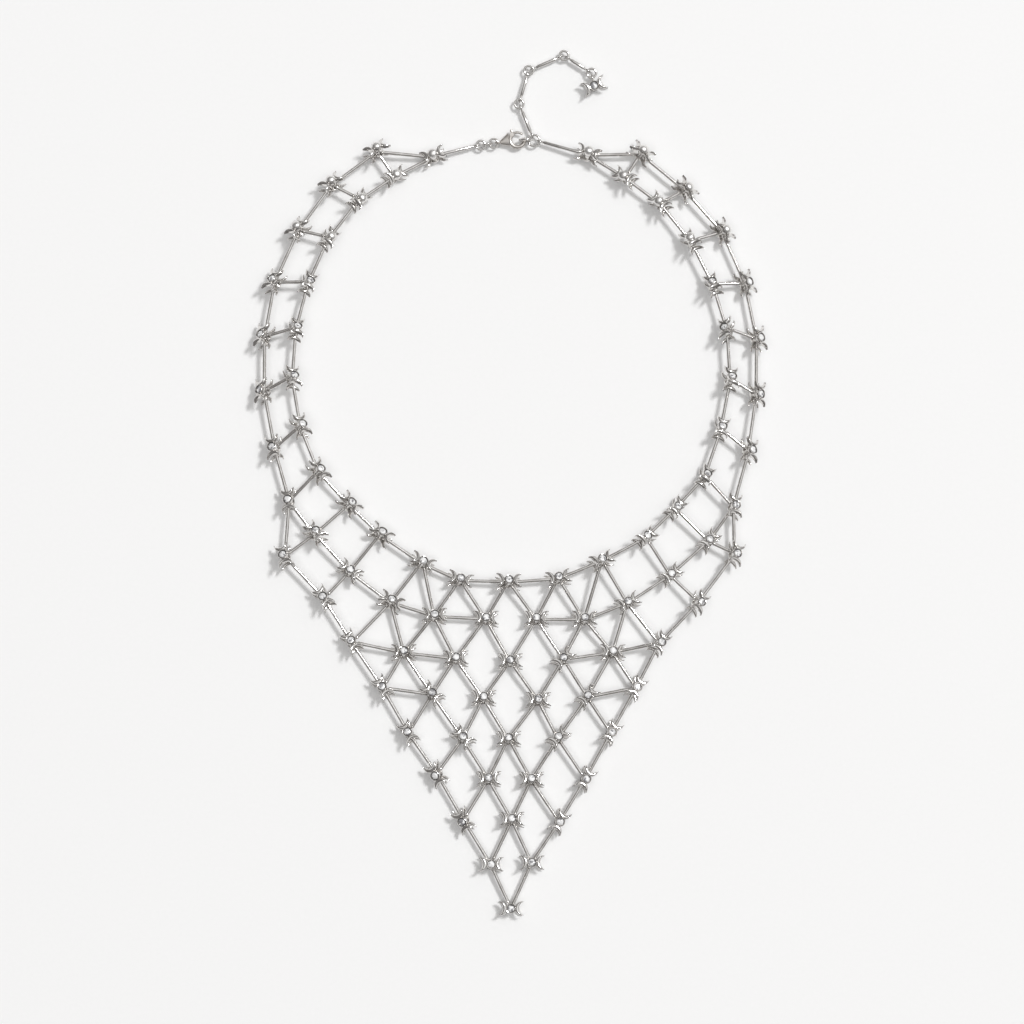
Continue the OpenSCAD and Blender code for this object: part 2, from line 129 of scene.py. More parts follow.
# The lattice inside the edges, by row and place across, with the heading last.
INSIDE = {
    (2, 0): (-0.2, -0.2, 0.1, 0.9, 0), (2, -2): (-0.7, 0.1, 0.1, 0.9, 0),
    (2, 2): (0.0, 0.0, 0.2, 0.9, 45), (2, -4): (-0.5, 0.4, 0.1, 1.0, 0),
    (2, 4): (-0.9, 0.4, 0.3, 0.9, 0), (3, -3): (-0.5, 0.8, 0.1, 0.9, -45),
    (3, 3): (0.0, 0.0, 0.2, 0.9, 45), (3, -1): (-0.5, 0.5, 0.1, 0.9, 0),
    (3, 1): (0.6, -0.2, 0.2, 0.8, 0), (4, -2): (0.7, 0.4, 0.2, 0.9, -45),
    (4, 2): (-0.7, 0.4, 0.2, 0.9, 45), (4, 0): (-0.7, 0.4, 0.1, 0.9, 0),
    (5, -1): (0.7, 0.6, 0.2, 0.8, 0), (5, 1): (-1.1, 0.4, 0.1, 0.8, 0),
    (6, 0): (0.3, 1.1, 0.1, 0.8, 0),
}


def polar(r, a):
    return Vector((r * math.sin(math.radians(a)), -r * math.cos(math.radians(a))))


def side(s, p):
    return Vector((s * p.x, p.y))


def neck_rule(m):
    return polar(NECK_R, (NECK_LINKS + 1 - m) * NECK_STEP)


def row_angle(j):
    return ROW_FIRST + ROW_STEP * j


def row_rule(j):
    return polar(NECK_R + ROW_GAP - (ROW_DRAWN_IN if j == 0 else 0), row_angle(j))


def lattice_rule(n, k):
    """Row n below the neckline, k half steps across."""
    curve = LATTICE_CURVE * k * k * min(1, (LATTICE_FLAT_ROW - n) / LATTICE_FLATTENS_OVER)
    drop = LATTICE_RISE * n + LATTICE_STRETCH * n * n - curve
    return Vector((k * (LATTICE_HALF - LATTICE_NARROW * n), -NECK_R - drop))


def rail_rule(k):
    """Eight links beside the neckline, then the lattice's edge down to its point."""
    if k > RAIL_SIDE_LINKS:
        return lattice_rule(k - RAIL_SIDE_LINKS - 1, RAIL_LAST - k)
    spread = RAIL_SPREAD * max(k - RAIL_SPREADS_FROM, 0) ** 2
    return polar(NECK_R + RAIL_GAP + spread, RAIL_FIRST - RAIL_STEP * (k - 1))


def rail_heading(k):
    if k > RAIL_LAST - 2:
        return 0
    v = rail_rule(max(k - 1, 1)) - rail_rule(min(k + 1, RAIL_LAST))
    return math.atan2(v.y, v.x)


class Link:
    """A moon link: its foot at the height of the bars, heading, lean and own axes."""

    def __init__(self, place, heading, lie, stone=True):
        self.lean = Vector((lie[2], lie[3]))
        self.heading, self.stone = heading, stone
        self.angle = min(MAX_LEAN, math.asin(min(1, self.lean.length / FACE_Z)))
        c, s = math.cos(self.angle), math.sin(self.angle)
        z = BACK_DEPTH * c
        self.axis = Vector((0, 0, 1))
        if self.lean.length > 0:
            way = math.atan2(self.lean.y, self.lean.x)
            f = math.acos(min(1, abs(math.cos(way - heading))))
            if f > math.acos(TIP_X / MOON_R):
                z += (MOON_REACH * math.cos(f) + MOON_R) * s
            else:
                z += ((MOON_REACH + TIP_X) * math.cos(f) + TIP_Y * math.sin(f)) * s
            u = self.lean.normalized()
            self.axis = Vector((u.x * s, u.y * s, c))
        self.foot = Vector((place.x + lie[0] - lie[2], place.y + lie[1] - lie[3], z))
        tip = Matrix.Identity(3)
        if self.lean.length > 0:
            tip = Matrix.Rotation(self.angle, 3, Vector((-self.lean.y, self.lean.x, 0)))
        self.turn = (tip @ Matrix.Rotation(heading, 3, "Z")).to_euler()

    def hook(self, p):
        """Where a bar coming from p ends beside this link's setting."""
        v = p - self.foot
        w = v - self.axis * v.dot(self.axis)
        return self.foot + w.normalized() * (SETTING_R + BAR_CLEAR) + self.axis * HOOK_LIFT


def neck(s, m):
    if m > NECK_LINKS:
        return Link(neck_rule(m), 0, NECK_RIGHT[NECK_LINKS])
    heading = s * math.radians((NECK_LINKS + 1 - m) * NECK_STEP)
    lie = (NECK_LEFT if s < 0 else NECK_RIGHT)[m - 1]
    return Link(side(s, neck_rule(m)), heading, lie, m > PLAIN_NECK)


def rail(s, k):
    if k == RAIL_LAST:
        return Link(rail_rule(k), 0, RAIL_RIGHT[-1])
    lie = (RAIL_LEFT if s < 0 else RAIL_RIGHT)[k - 1]
    return Link(side(s, rail_rule(k)), s * rail_heading(k), lie, k > PLAIN_RAIL)


def row(s, j):
    heading = 0 if j < 2 else s * math.radians(row_angle(j))
    return Link(side(s, row_rule(j)), heading, (ROW_LEFT if s < 0 else ROW_RIGHT)[j])


def grid(n, k):
    s = -1 if k < 0 else 1
    lie = INSIDE[(n, k)]
    return Link(side(s, lattice_rule(n, abs(k))), math.radians(lie[4]), lie)


# ---------------------------------------------------------------- threads
# Each thread is one soldered run: its links, then its bars as pairs of points.
def thread(links, joined, hooked):
    bars = [(a.foot, b.foot) for a, b in joined]
    bars += [(a.foot, b.hook(a.foot)) for a, b in hooked]
    return links, bars


def neckline(s, last):
    run = [neck(s, m) for m in range(1, last + 1)]
    hooked = [(run[-1], neck(s, last + 1))] if last == NECK_LINKS else []
    return thread(run, list(zip(run, run[1:])), hooked)


def outer_rail(s, last):
    run = [rail(s, k) for k in range(1, last + 1)]
    hooked = [(rail(s, k), neck(s, k + 1)) for k in range(1, RAIL_SIDE_LINKS + 1)]
    hooked += [(rail(s, 1), neck(s, 1)), (rail(s, 8), row(s, 4))]
    if last < RAIL_LAST:
        hooked.append((run[-1], rail(s, RAIL_LAST)))
    return thread(run, list(zip(run, run[1:])), hooked)


def second_row(s):
    ends = [(row(s, 3), row(s, 2)), (row(s, 4), rail(s, 9)), (row(s, 4), neck(s, 10))]
    ends += [(row(s, 3), neck(s, 11)), (row(s, 3), rail(s, 10))]
    return thread([row(s, 3), row(s, 4)], [(row(s, 4), row(s, 3))], ends)


def outer_chevron(s):
    arm = [row(s, 2)] + [grid(n, (6 - n) * s) for n in (2, 3, 4, 5)]
    point = grid(6, 0)
    ends = [(arm[0], neck(s, 12)), (arm[0], row(s, 1)), (arm[1], row(s, 1))]
    ends += [(arm[1], grid(2, 2 * s)), (arm[2], grid(2, 2 * s)), (arm[4], grid(4, 0))]
    ends += [(arm[0], rail(s, 11)), (arm[1], rail(s, 11)), (arm[1], rail(s, 12))]
    ends += [(arm[2], rail(s, 12)), (arm[2], rail(s, 13)), (arm[3], rail(s, 14))]
    ends += [(arm[4], rail(s, 15))]
    joined = list(zip(arm, arm[1:]))
    if s > 0:
        return thread(arm, joined, ends + [(arm[4], point)])
    ends += [(point, rail(-1, 16)), (point, rail(1, 16))]
    return thread(arm + [point], joined + [(arm[4], point)], ends)


def middle_chevron():
    links, joined, hooked = [grid(4, 0)], [], []
    for s in (-1, 1):
        arm = [row(s, 1), grid(2, 2 * s), grid(3, s), grid(4, 0)]
        links += arm[:3]
        joined += list(zip(arm, arm[1:]))
        hooked += [(arm[0], neck(s, 12)), (arm[0], neck(s, 13)), (arm[0], row(s, 0))]
        hooked += [(arm[1], row(s, 0)), (arm[2], grid(2, 0)), (arm[2], grid(4, 2 * s))]
    return thread(links, joined, hooked)


def inner_chevron():
    links, joined, hooked = [grid(2, 0)], [], []
    for s in (-1, 1):
        links.append(row(s, 0))
        joined.append((row(s, 0), grid(2, 0)))
        hooked += [(row(s, 0), neck(s, 13)), (row(s, 0), neck(s, 14))]
    return thread(links, joined, hooked)


THREADS = {
    "neckline_left": neckline(-1, NECK_LINKS),
    "neckline_right": neckline(1, NECK_LINKS + 1),
    "outer_rail_left": outer_rail(-1, RAIL_LAST - 1),
    "outer_rail_right": outer_rail(1, RAIL_LAST),
    "second_row_left": second_row(-1),
    "second_row_right": second_row(1),
    "outer_chevron_left": outer_chevron(-1),
    "outer_chevron_right": outer_chevron(1),
    "middle_chevron": middle_chevron(),
    "inner_chevron": inner_chevron(),
}


# ---------------------------------------------------------------- materials
def srgb(hex_colour):
    """An sRGB hex colour as linear RGBA."""
    out = []
    for i in (0, 2, 4):
        c = int(hex_colour[i : i + 2], 16) / 255
        out.append(c / 12.92 if c <= 0.04045 else ((c + 0.055) / 1.055) ** 2.4)
    return (*out, 1)


def add(tree, kind, **values):
    """One node, with its properties and its unlinked inputs set by name."""
    n = tree.nodes.new(kind)
    for key, value in values.items():
        if hasattr(n, key):
            setattr(n, key, value)
        else:
            n.inputs[key.replace("_", " ").title()].default_value = value
    return n


def new_material(name):
    m = bpy.data.materials.new(name)
    m.use_nodes = True
    m.node_tree.nodes.clear()
    out = add(m.node_tree, "ShaderNodeOutputMaterial")
    shader = add(m.node_tree, "ShaderNodeBsdfPrincipled")
    m.node_tree.links.new(shader.outputs[0], out.inputs["Surface"])
    return m, m.node_tree, shader


# How many of each mark there are to a metre: clouds 3 mm apart, handling marks 0.4 mm
# apart, the crystal's painted facet glints 0.7 mm apart and the paper's tooth, drawn coarse at
# 1.1 mm.
CLOUDS, HANDLING_MARKS, FACETS, PAPER_TOOTH = 350.0, 2600.0, 1500.0, 900.0
MARK_DEPTH = 0.02 * MM


def metal(name, light, dark, rough_low, rough_high, bump):
    """A plated metal: a faint cloudy tone, uneven polish and fine handling marks."""
    m, t, shader = new_material(name)
    place = add(t, "ShaderNodeTexCoord")
    cloud = add(t, "ShaderNodeTexNoise", Scale=CLOUDS, Detail=3.0)
    marks = add(t, "ShaderNodeTexNoise", Scale=HANDLING_MARKS, Detail=2.0)
    tone = add(t, "ShaderNodeValToRGB")
    tone.color_ramp.elements[0].color = srgb(dark)
    tone.color_ramp.elements[0].position = 0.3
    tone.color_ramp.elements[1].color = srgb(light)
    tone.color_ramp.elements[1].position = 0.65
    polish = add(t, "ShaderNodeMapRange")
    polish.inputs["To Min"].default_value = rough_low
    polish.inputs["To Max"].default_value = rough_high
    relief = add(t, "ShaderNodeBump", Strength=bump, Distance=MARK_DEPTH)
    link = t.links.new
    link(place.outputs["Object"], cloud.inputs["Vector"])
    link(place.outputs["Object"], marks.inputs["Vector"])
    link(cloud.outputs["Fac"], tone.inputs["Fac"])
    link(tone.outputs["Color"], shader.inputs["Base Color"])
    link(marks.outputs["Fac"], polish.inputs["Value"])
    link(polish.outputs["Result"], shader.inputs["Roughness"])
    link(marks.outputs["Fac"], relief.inputs["Height"])
    link(relief.outputs["Normal"], shader.inputs["Normal"])
    shader.inputs["Metallic"].default_value = 1.0
    return m


# Polished silver plate, a little greyer where the polish has thinned.
SILVER = metal("polished_silver_plate", "e9e7e5", "cecbc8", 0.07, 0.2, 0.12)
# Painted shade: the dark ring in the groove round each stone stands in for the shade between the
# setting's rim and its stone.
GROOVE_SHADE = metal("painted_groove_shade", "6f6b68", "4f4b49", 0.3, 0.45, 0.1)
# The plain domes have a soft, even satin shine, and their colour is painted lighter than the rest
# of the silver as a painted reflection of the white they mirror all over.
DOME = metal("soft_silver_painted_bright", "f4f3f1", "e6e4e2", 0.3, 0.42, 0.06)
# The clasp is tumbled rather than polished, so it is duller.
SATIN = metal("satin_silver_plate", "dedad6", "c6c0ba", 0.26, 0.4, 0.2)


def crystal():
    """Clear faceted crystal over a silvered back, its facets painted white or grey as painted
    glints and reflections.
    """
    m, t, shader = new_material("clear_crystal")
    place = add(t, "ShaderNodeTexCoord")
    # Painted reflection: random cells of white and grey stand in for the glints and dark
    # reflections of the facets.
    facet_glints = add(t, "ShaderNodeTexVoronoi", Scale=FACETS)
    tone = add(t, "ShaderNodeValToRGB")
    tone.color_ramp.elements[0].color = srgb("ffffff")
    tone.color_ramp.elements[0].position = 0.5
    tone.color_ramp.elements[1].color = srgb("98979a")
    tone.color_ramp.elements[1].position = 0.75
    t.links.new(place.outputs["Object"], facet_glints.inputs["Vector"])
    t.links.new(facet_glints.outputs["Color"], tone.inputs["Fac"])
    t.links.new(tone.outputs["Color"], shader.inputs["Base Color"])
    shader.inputs["Metallic"].default_value = 0.3
    shader.inputs["Roughness"].default_value = 0.06
    shader.inputs["Coat Weight"].default_value = 1.0
    shader.inputs["Coat Roughness"].default_value = 0.03
    return m


CRYSTAL = crystal()


def table_top():
    """Matt white paper sweep with a barely visible tooth."""
    m, t, shader = new_material("white_paper")
    place = add(t, "ShaderNodeTexCoord")
    tooth = add(t, "ShaderNodeTexNoise", Scale=PAPER_TOOTH, Detail=4.0)
    tone = add(t, "ShaderNodeValToRGB")
    tone.color_ramp.elements[0].color = srgb("f0f0f0")
    tone.color_ramp.elements[1].color = srgb("f3f3f3")
    t.links.new(place.outputs["Object"], tooth.inputs["Vector"])
    t.links.new(tooth.outputs["Fac"], tone.inputs["Fac"])
    t.links.new(tone.outputs["Color"], shader.inputs["Base Color"])
    shader.inputs["Roughness"].default_value = 0.9
    shader.inputs["Specular IOR Level"].default_value = 0.15
    return m


# ---------------------------------------------------------------- shapes, in mm
# A turned or swept shape starts and ends this close to its axis.
AXIS_R = 0.02
# Points closer than this are one, and edges sharper than this stay sharp.
WELD, SHARP_EDGE = 0.002, math.radians(38)
# A crescent's section, flat below and domed above, as shares of its half width and height.
MOON_SECTION = (
    (1, 0), (1, 0.45), (0.84, 0.74), (0.5, 0.93), (0, 1.0),
    (-0.5, 0.93), (-0.84, 0.74), (-1, 0.45), (-1, 0),
)


class Shape:
    """Rings of points stitched into one closed mesh."""

    def __init__(self):
        self.points, self.faces = [], []

    def rings(self, rings, closed=False):
        """Skins a list of equal rings; the ends are capped unless the run is closed."""
        base, n, count = len(self.points), len(rings[0]), len(rings)
        for ring in rings:
            self.points += [Vector(p) for p in ring]
        for i in range(count if closed else count - 1):
            a, b = base + i * n, base + (i + 1) % count * n
            for j in range(n):
                k = (j + 1) % n
                self.faces.append((a + j, a + k, b + k, b + j))
        if not closed:
            self.faces.append(tuple(base + j for j in range(n - 1, -1, -1)))
            self.faces.append(tuple(base + (count - 1) * n + j for j in range(n)))
        return self

    def lathe(self, profile, n=24, at=(0, 0, 0)):
        """Turns (radius, height) pairs round Z; the first and last radius are small."""
        rings = []
        for r, z in profile:
            ring = []
            for j in range(n):
                a = 2 * math.pi * j / n
                ring.append((at[0] + r * math.cos(a), at[1] + r * math.sin(a), at[2] + z))
            rings.append(ring)
        return self.rings(rings)

    def tube(self, path, radii, n=12, closed=False, flat=1.0):
        """Sweeps a round section along a path that stays near one plane."""
        rings, last = [], len(path) - 1
        for i, p in enumerate(path):
            before = path[i - 1] if i or closed else path[0]
            after = path[(i + 1) % len(path)] if i < last or closed else path[last]
            d = (after - before).normalized()
            up = Vector((0, 0, 1)) if abs(d.z) < 0.9 else Vector((0, 1, 0))
            x = up.cross(d).normalized()
            y = d.cross(x)
            r = radii[i] if isinstance(radii, list) else radii
            ring = []
            for j in range(n):
                a = 2 * math.pi * j / n
                ring.append(p + x * (r * math.cos(a)) + y * (r * flat * math.sin(a)))
            rings.append(ring)
        return self.rings(rings, closed)

    def torus(self, middle, r, wire, turn, steps=28, n=10):
        """A round wire ring of radius r, lying in XY before its turn."""
        along_x, along_y = turn @ Vector((1, 0, 0)), turn @ Vector((0, 1, 0))
        lift = turn @ Vector((0, 0, 1))
        rings = []
        for i in range(steps):
            a = 2 * math.pi * i / steps
            out = along_x * math.cos(a) + along_y * math.sin(a)
            ring = []
            for j in range(n):
                b = 2 * math.pi * j / n
                ring.append(middle + out * (r + wire * math.cos(b)) + lift * (wire * math.sin(b)))
            rings.append(ring)
        return self.rings(rings, closed=True)

    def crescent(self, reach, turned, back, thick, steps=22):
        """A moon with a flat back and a domed front, its horns drawn to soft points."""
        outer_from = math.acos(TIP_X / MOON_R)
        inner_from = math.acos((TIP_X - MOON_CUT_SHIFT) / MOON_CUT_R)
        rings = []
        for i in range(steps + 1):
            t = i / steps
            ao = outer_from + t * 2 * (math.pi - outer_from)
            ai = inner_from + t * 2 * (math.pi - inner_from)
            o = Vector((MOON_R * math.cos(ao), MOON_R * math.sin(ao), 0))
            q = Vector((MOON_CUT_SHIFT + MOON_CUT_R * math.cos(ai), MOON_CUT_R * math.sin(ai), 0))
            mid, half = (o + q) / 2, (o - q) / 2
            if half.length < HORN_HALF:
                step = half.normalized() if half.length > 1e-6 else Vector((0, 1, 0))
                half = step * HORN_HALF
            h = thick * min(1, HORN_THIN + half.length * HORN_SWELL)
            ring = []
            for w, z in MOON_SECTION:
                p = mid + half * w
                p *= min(1, MOON_R / max(p.length, 0.1))
                z = z * h if back > 0 else thick - (1 - z) * h
                ring.append((turned * (reach + p.x), turned * p.y, back + z))
            rings.append(ring)
        return self.rings(rings)

    def mesh(self, name, material, smooth=True):
        me = bpy.data.meshes.new(name)
        me.from_pydata([tuple(p) for p in self.points], [], self.faces)
        b = bmesh.new()
        b.from_mesh(me)
        bmesh.ops.remove_doubles(b, verts=b.verts, dist=WELD)
        bmesh.ops.recalc_face_normals(b, faces=b.faces)
        b.to_mesh(me)
        b.free()
        me.materials.append(material)
        if smooth:
            me.shade_smooth()
            me.set_sharp_from_angle(angle=SHARP_EDGE)
        return me


# Outlines as (radius, height): the setting, its rim round a stone, post and back disc.
CUP = [(AXIS_R, 0.85), (1.2, 0.85), (1.38, 0.97), (SETTING_R, 1.3), (SETTING_R, 2.2),
       (1.46, 2.34), (1.38, FACE_Z)]
STONE_RIM = [(1.26, 2.36), (1.19, 2.2), (1.15, 1.95), (AXIS_R, 1.95)]
POST = [(AXIS_R, -BACK_DEPTH), (0.9, -BACK_DEPTH), (0.9, 1.5), (AXIS_R, 1.5)]
BACK_DISC = [(AXIS_R, -BACK_DEPTH), (1.25, -BACK_DEPTH), (1.4, -1.45), (1.4, -1.0),
             (1.25, -0.85), (AXIS_R, -0.85)]
DOME_R, DOME_RISE, DOME_SUNK = 1.45, 0.98, 0.1
# The dark ring of painted shade in each stone's groove: its height, radius and wire.
GROOVE_Z, GROOVE_R, GROOVE_WIRE = 2.27, 1.17, 0.08
# The stone's rings as (radius, height, share of a facet that the ring is turned).
STONE_FACETS = 12
STONE_RINGS = (
    (AXIS_R, 1.95, 0), (1.1, 2.02, 0), (1.1, 2.1, 0), (0.86, 2.28, 0.5),
    (0.5, 2.42, 0), (AXIS_R, 2.42, 0),
)


def moon_shape(stone):
    """The double-sided link: crescents on both faces, setting, post and back disc."""
    s = Shape()
    for turned in (1, -1):
        s.crescent(MOON_REACH, turned, FRONT_Z, FRONT_T)
        s.crescent(MOON_REACH, turned, -BACK_DEPTH, BACK_T)
    s.lathe(CUP + (STONE_RIM if stone else [(AXIS_R, FACE_Z)]), 28)
    s.lathe(POST, 20)
    return s.lathe(BACK_DISC, 24)


def stone_shape():
    """A small round brilliant: table, crown and girdle."""
    rings = []
    for r, z, shift in STONE_RINGS:
        ring = []
        for j in range(STONE_FACETS):
            a = 2 * math.pi * (j + shift) / STONE_FACETS
            ring.append((r * math.cos(a), r * math.sin(a), z))
        rings.append(ring)
    return Shape().rings(rings)


def dome_shape():
    """The plain polished dome that some links carry in place of a stone."""
    profile = [(AXIS_R, FACE_Z - DOME_SUNK), (DOME_R, FACE_Z - DOME_SUNK)]
    for a in range(0, 89, 8):
        t = math.radians(a)
        profile.append((DOME_R * math.cos(t), FACE_Z + DOME_RISE * math.sin(t)))
    return Shape().lathe(profile + [(AXIS_R, FACE_Z + DOME_RISE)], 28)


def groove_shade_shape():
    """A dark ring of painted shade between a setting's rim and its stone."""
    middle = Vector((0, 0, GROOVE_Z))
    return Shape().torus(middle, GROOVE_R, GROOVE_WIRE, Matrix.Identity(3), 24, 6)


def shaft_shape():
    """A bar of unit length along Z, to be stretched to its own length."""
    return Shape().lathe([(AXIS_R, 0), (BAR_R, 0), (BAR_R, 1), (AXIS_R, 1)], 20)


# The loop at a bar's end: how far out its middle is, its radius and its wire's.
LOOP_OUT, LOOP_R, LOOP_WIRE = 1.25, 0.6, 0.24


def bar_end_shape():
    """The necked-down end of a bar with its small loop, lying in the bar's own plane."""
    s = Shape()
    s.lathe([(AXIS_R, -0.3), (BAR_R, -0.3), (BAR_R, 0.05), (0.6, 0.12), (0.6, 0.3),
             (0.42, 0.42), (0.3, 0.75), (AXIS_R, 0.75)], 16)
    upright_turn = Matrix.Rotation(math.pi / 2, 3, "Y")
    return s.torus(Vector((0, 0, LOOP_OUT)), LOOP_R, LOOP_WIRE, upright_turn, 20, 8)


# ---------------------------------------------------------------- geometry nodes
KINDS = ["Link with stone", "Plain link", "Bar", "Bar end"]
STONE_LINK, PLAIN_LINK, BAR, BAR_END = range(len(KINDS))


def scatter_tree(kinds):
    """Puts each kind of part on the points of that kind, turned and stretched."""
    t = bpy.data.node_groups.new("Threads", "GeometryNodeTree")
    face = t.interface
    face.new_socket("Points", in_out="INPUT", socket_type="NodeSocketGeometry")
    for kind in kinds:
        face.new_socket(kind, in_out="INPUT", socket_type="NodeSocketObject")
    face.new_socket("Metal", in_out="INPUT", socket_type="NodeSocketMaterial")
    face.new_socket("Parts", in_out="OUTPUT", socket_type="NodeSocketGeometry")
    start, end = add(t, "NodeGroupInput"), add(t, "NodeGroupOutput")
    join = add(t, "GeometryNodeJoinGeometry")
    link = t.links.new

    def attribute(name, data_type):
        n = add(t, "GeometryNodeInputNamedAttribute", data_type=data_type)
        n.inputs["Name"].default_value = name
        return n

    kind_of = attribute("kind", "INT")
    turn = attribute("turn", "FLOAT_VECTOR")
    stretch = attribute("stretch", "FLOAT_VECTOR")
    as_rotation = add(t, "FunctionNodeEulerToRotation")
    link(turn.outputs["Attribute"], as_rotation.inputs["Euler"])
    for i, kind in enumerate(kinds):
        part = add(t, "GeometryNodeObjectInfo")
        same = add(t, "FunctionNodeCompare", data_type="INT", operation="EQUAL")
        for socket in same.inputs:
            if socket.identifier == "B_INT":
                socket.default_value = i
            if socket.identifier == "A_INT":
                link(kind_of.outputs["Attribute"], socket)
        put = add(t, "GeometryNodeInstanceOnPoints")
        link(start.outputs[kind], part.inputs["Object"])
        link(start.outputs["Points"], put.inputs["Points"])
        link(same.outputs["Result"], put.inputs["Selection"])
        link(part.outputs["Geometry"], put.inputs["Instance"])
        link(as_rotation.outputs["Rotation"], put.inputs["Rotation"])
        link(stretch.outputs["Attribute"], put.inputs["Scale"])
        link(put.outputs["Instances"], join.inputs["Geometry"])
    real = add(t, "GeometryNodeRealizeInstances")
    paint = add(t, "GeometryNodeSetMaterial")
    link(join.outputs[0], real.inputs[0])
    link(real.outputs[0], paint.inputs["Geometry"])
    link(start.outputs["Metal"], paint.inputs["Material"])
    link(paint.outputs[0], end.inputs[0])
    return t


def grow(name, tree, kinds, parts, places, material):
    """Runs the tree on the places and returns the result as one plain mesh in metres."""
    me = bpy.data.meshes.new(name)
    me.from_pydata([tuple((p - OUTLINE_MIDDLE) * MM) for _, p, _, _ in places], [], [])
    for key, kind, at in (("kind", "INT", 0), ("turn", "FLOAT_VECTOR", 2),
                          ("stretch", "FLOAT_VECTOR", 3)):
        layer = me.attributes.new(key, kind, "POINT")
        for i, place in enumerate(places):
            if kind == "INT":
                layer.data[i].value = place[at]
            else:
                layer.data[i].vector = place[at]
    o = bpy.data.objects.new(name + "_points", me)
    bpy.context.scene.collection.objects.link(o)
    modifier = o.modifiers.new("Threads", "NODES")
    modifier.node_group = tree
    sockets = {s.name: s.identifier for s in tree.interface.items_tree if s.in_out == "INPUT"}
    for kind, part in zip(kinds, parts):
        modifier[sockets[kind]] = part
    modifier[sockets["Metal"]] = material
    bpy.context.view_layer.update()
    view = bpy.context.evaluated_depsgraph_get()
    made = bpy.data.meshes.new_from_object(o.evaluated_get(view), depsgraph=view)
    o.modifiers.clear()
    bpy.data.objects.remove(o)
    made.name = name
    piece = bpy.data.objects.new(name, made)
    bpy.context.scene.collection.objects.link(piece)
    return piece


def part_object(name, shape, material, smooth=True):
    """A part in metres, kept out of the picture, for the tree to repeat."""
    me = shape.mesh(name, material, smooth)
    me.transform(Matrix.Scale(MM, 4))
    return bpy.data.objects.new(name, me)


def along(p, q):
    """Euler turn that takes Z onto the way from p to q, keeping X level."""
    d = (q - p).normalized()
    x = Vector((0, 0, 1)).cross(d).normalized()
    y = d.cross(x)
    return Matrix((x, y, d)).transposed().to_euler()


ONE = (1, 1, 1)
parts = [
    part_object("link_with_stone", moon_shape(True), SILVER),
    part_object("plain_link", moon_shape(False), SILVER),
    part_object("bar", shaft_shape(), SILVER),
    part_object("bar_end", bar_end_shape(), SILVER),
]
tree = scatter_tree(KINDS)
stone_tree = scatter_tree(["Stone"])
stone_part = part_object("stone", stone_shape(), CRYSTAL, smooth=False)
# The groove ring is painted shade.
groove_shade_part = part_object("groove", groove_shade_shape(), GROOVE_SHADE)
dome_part = part_object("dome", dome_shape(), DOME)

# A looped end takes this room at a bar's start, and lies this much further in at its far
# end, so that it passes under the setting there.
EYE_SPACE, EYE_PAST = 1.95, 1.3


def bar_places(p, q):
    """A bar from p to q with a looped end at each."""
    d = (q - p).normalized()
    a = p + d * EYE_SPACE
    b = q - d * (EYE_SPACE - EYE_PAST)
    shaft = (BAR, a, along(p, q), (1, 1, (b - a).length))
    return [shaft, (BAR_END, b, along(p, q), ONE), (BAR_END, a, along(q, p), ONE)]


stones, domes = [], []  # (kind, foot, turn, stretch), as in places
# Each thread is grown as one piece. Its stones and domes are gathered for pieces of their own.
for name, (links, bars) in THREADS.items():
    places = []
    for c in links:
        places.append((STONE_LINK if c.stone else PLAIN_LINK, c.foot, c.turn, ONE))
        (stones if c.stone else domes).append((0, c.foot, c.turn, ONE))
    for p, q in bars:
        places += bar_places(p, q)
    piece = grow(name + "_silver", tree, KINDS, parts, places, SILVER)
    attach(piece, "root")
    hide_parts(name)

# ---------------------------------------------------------------- behind the neck
# The height at which the chain lies, then each ring's and eye's radius and its wire's.
CHAIN_Z = 1.8
RING_R, RING_WIRE = 1.35, 0.34
EYE_R, EYE_WIRE = 0.8, 0.3
LEFT_EYE = Vector((-10.4, 65.3, CHAIN_Z))
CLASP_EYE = Vector((-3.9, 66.2, CHAIN_Z))
CLAW_MIDDLE = Vector((1.9, 67.1, CHAIN_Z))
CLAW_R = 2.2
SMALL_RING_R, HOOK_RING_R, END_RING_R = 1.45, 1.85, 1.7
HOOK_RING = CLAW_MIDDLE + Vector((2.55, -0.1, 0.4))
END_RING = HOOK_RING + Vector((HOOK_RING_R + END_RING_R - 1.05, -0.15, -0.4))
RIGHT_EYE = END_RING + Vector((END_RING_R, -0.25, 0))
RING_PLACES = ((2.4, 77.9), (5.3, 87.9), (15.9, 92.4), (24.2, 87.1))
RINGS = [Vector((x, y, CHAIN_Z)) for x, y in RING_PLACES]
CHARM = Link(Vector((24.9, 83.2)), math.radians(22), (0, 0, 0, 0))
CHARM_STEM_R = 0.45
FLAT = Matrix.Identity(3)


def upright(v):
    """A ring standing up, its plane along v."""
    return Matrix.Rotation(math.atan2(v.y, v.x), 3, "Z") @ Matrix.Rotation(math.pi / 2, 3, "X")


def place(shape, name, node, material=SILVER, body="root"):
    """Turns a shape into the shown piece for a node of the solid model."""
    me = shape.mesh(name, material)
    me.transform(Matrix.Translation(-OUTLINE_MIDDLE * MM) @ Matrix.Scale(MM, 4))
    o = bpy.data.objects.new(name, me)
    bpy.context.scene.collection.objects.link(o)
    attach(o, body)
    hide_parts(node)
    return o


# A bar's end as (distance in, radius): necked down beside an eye, or blunt.
NECKED_END = [(0, 0.02), (0.02, 0.36), (0.5, 0.4), (0.8, BAR_R)]
BLUNT_END = [(0, 0.02), (0.02, BAR_R)]


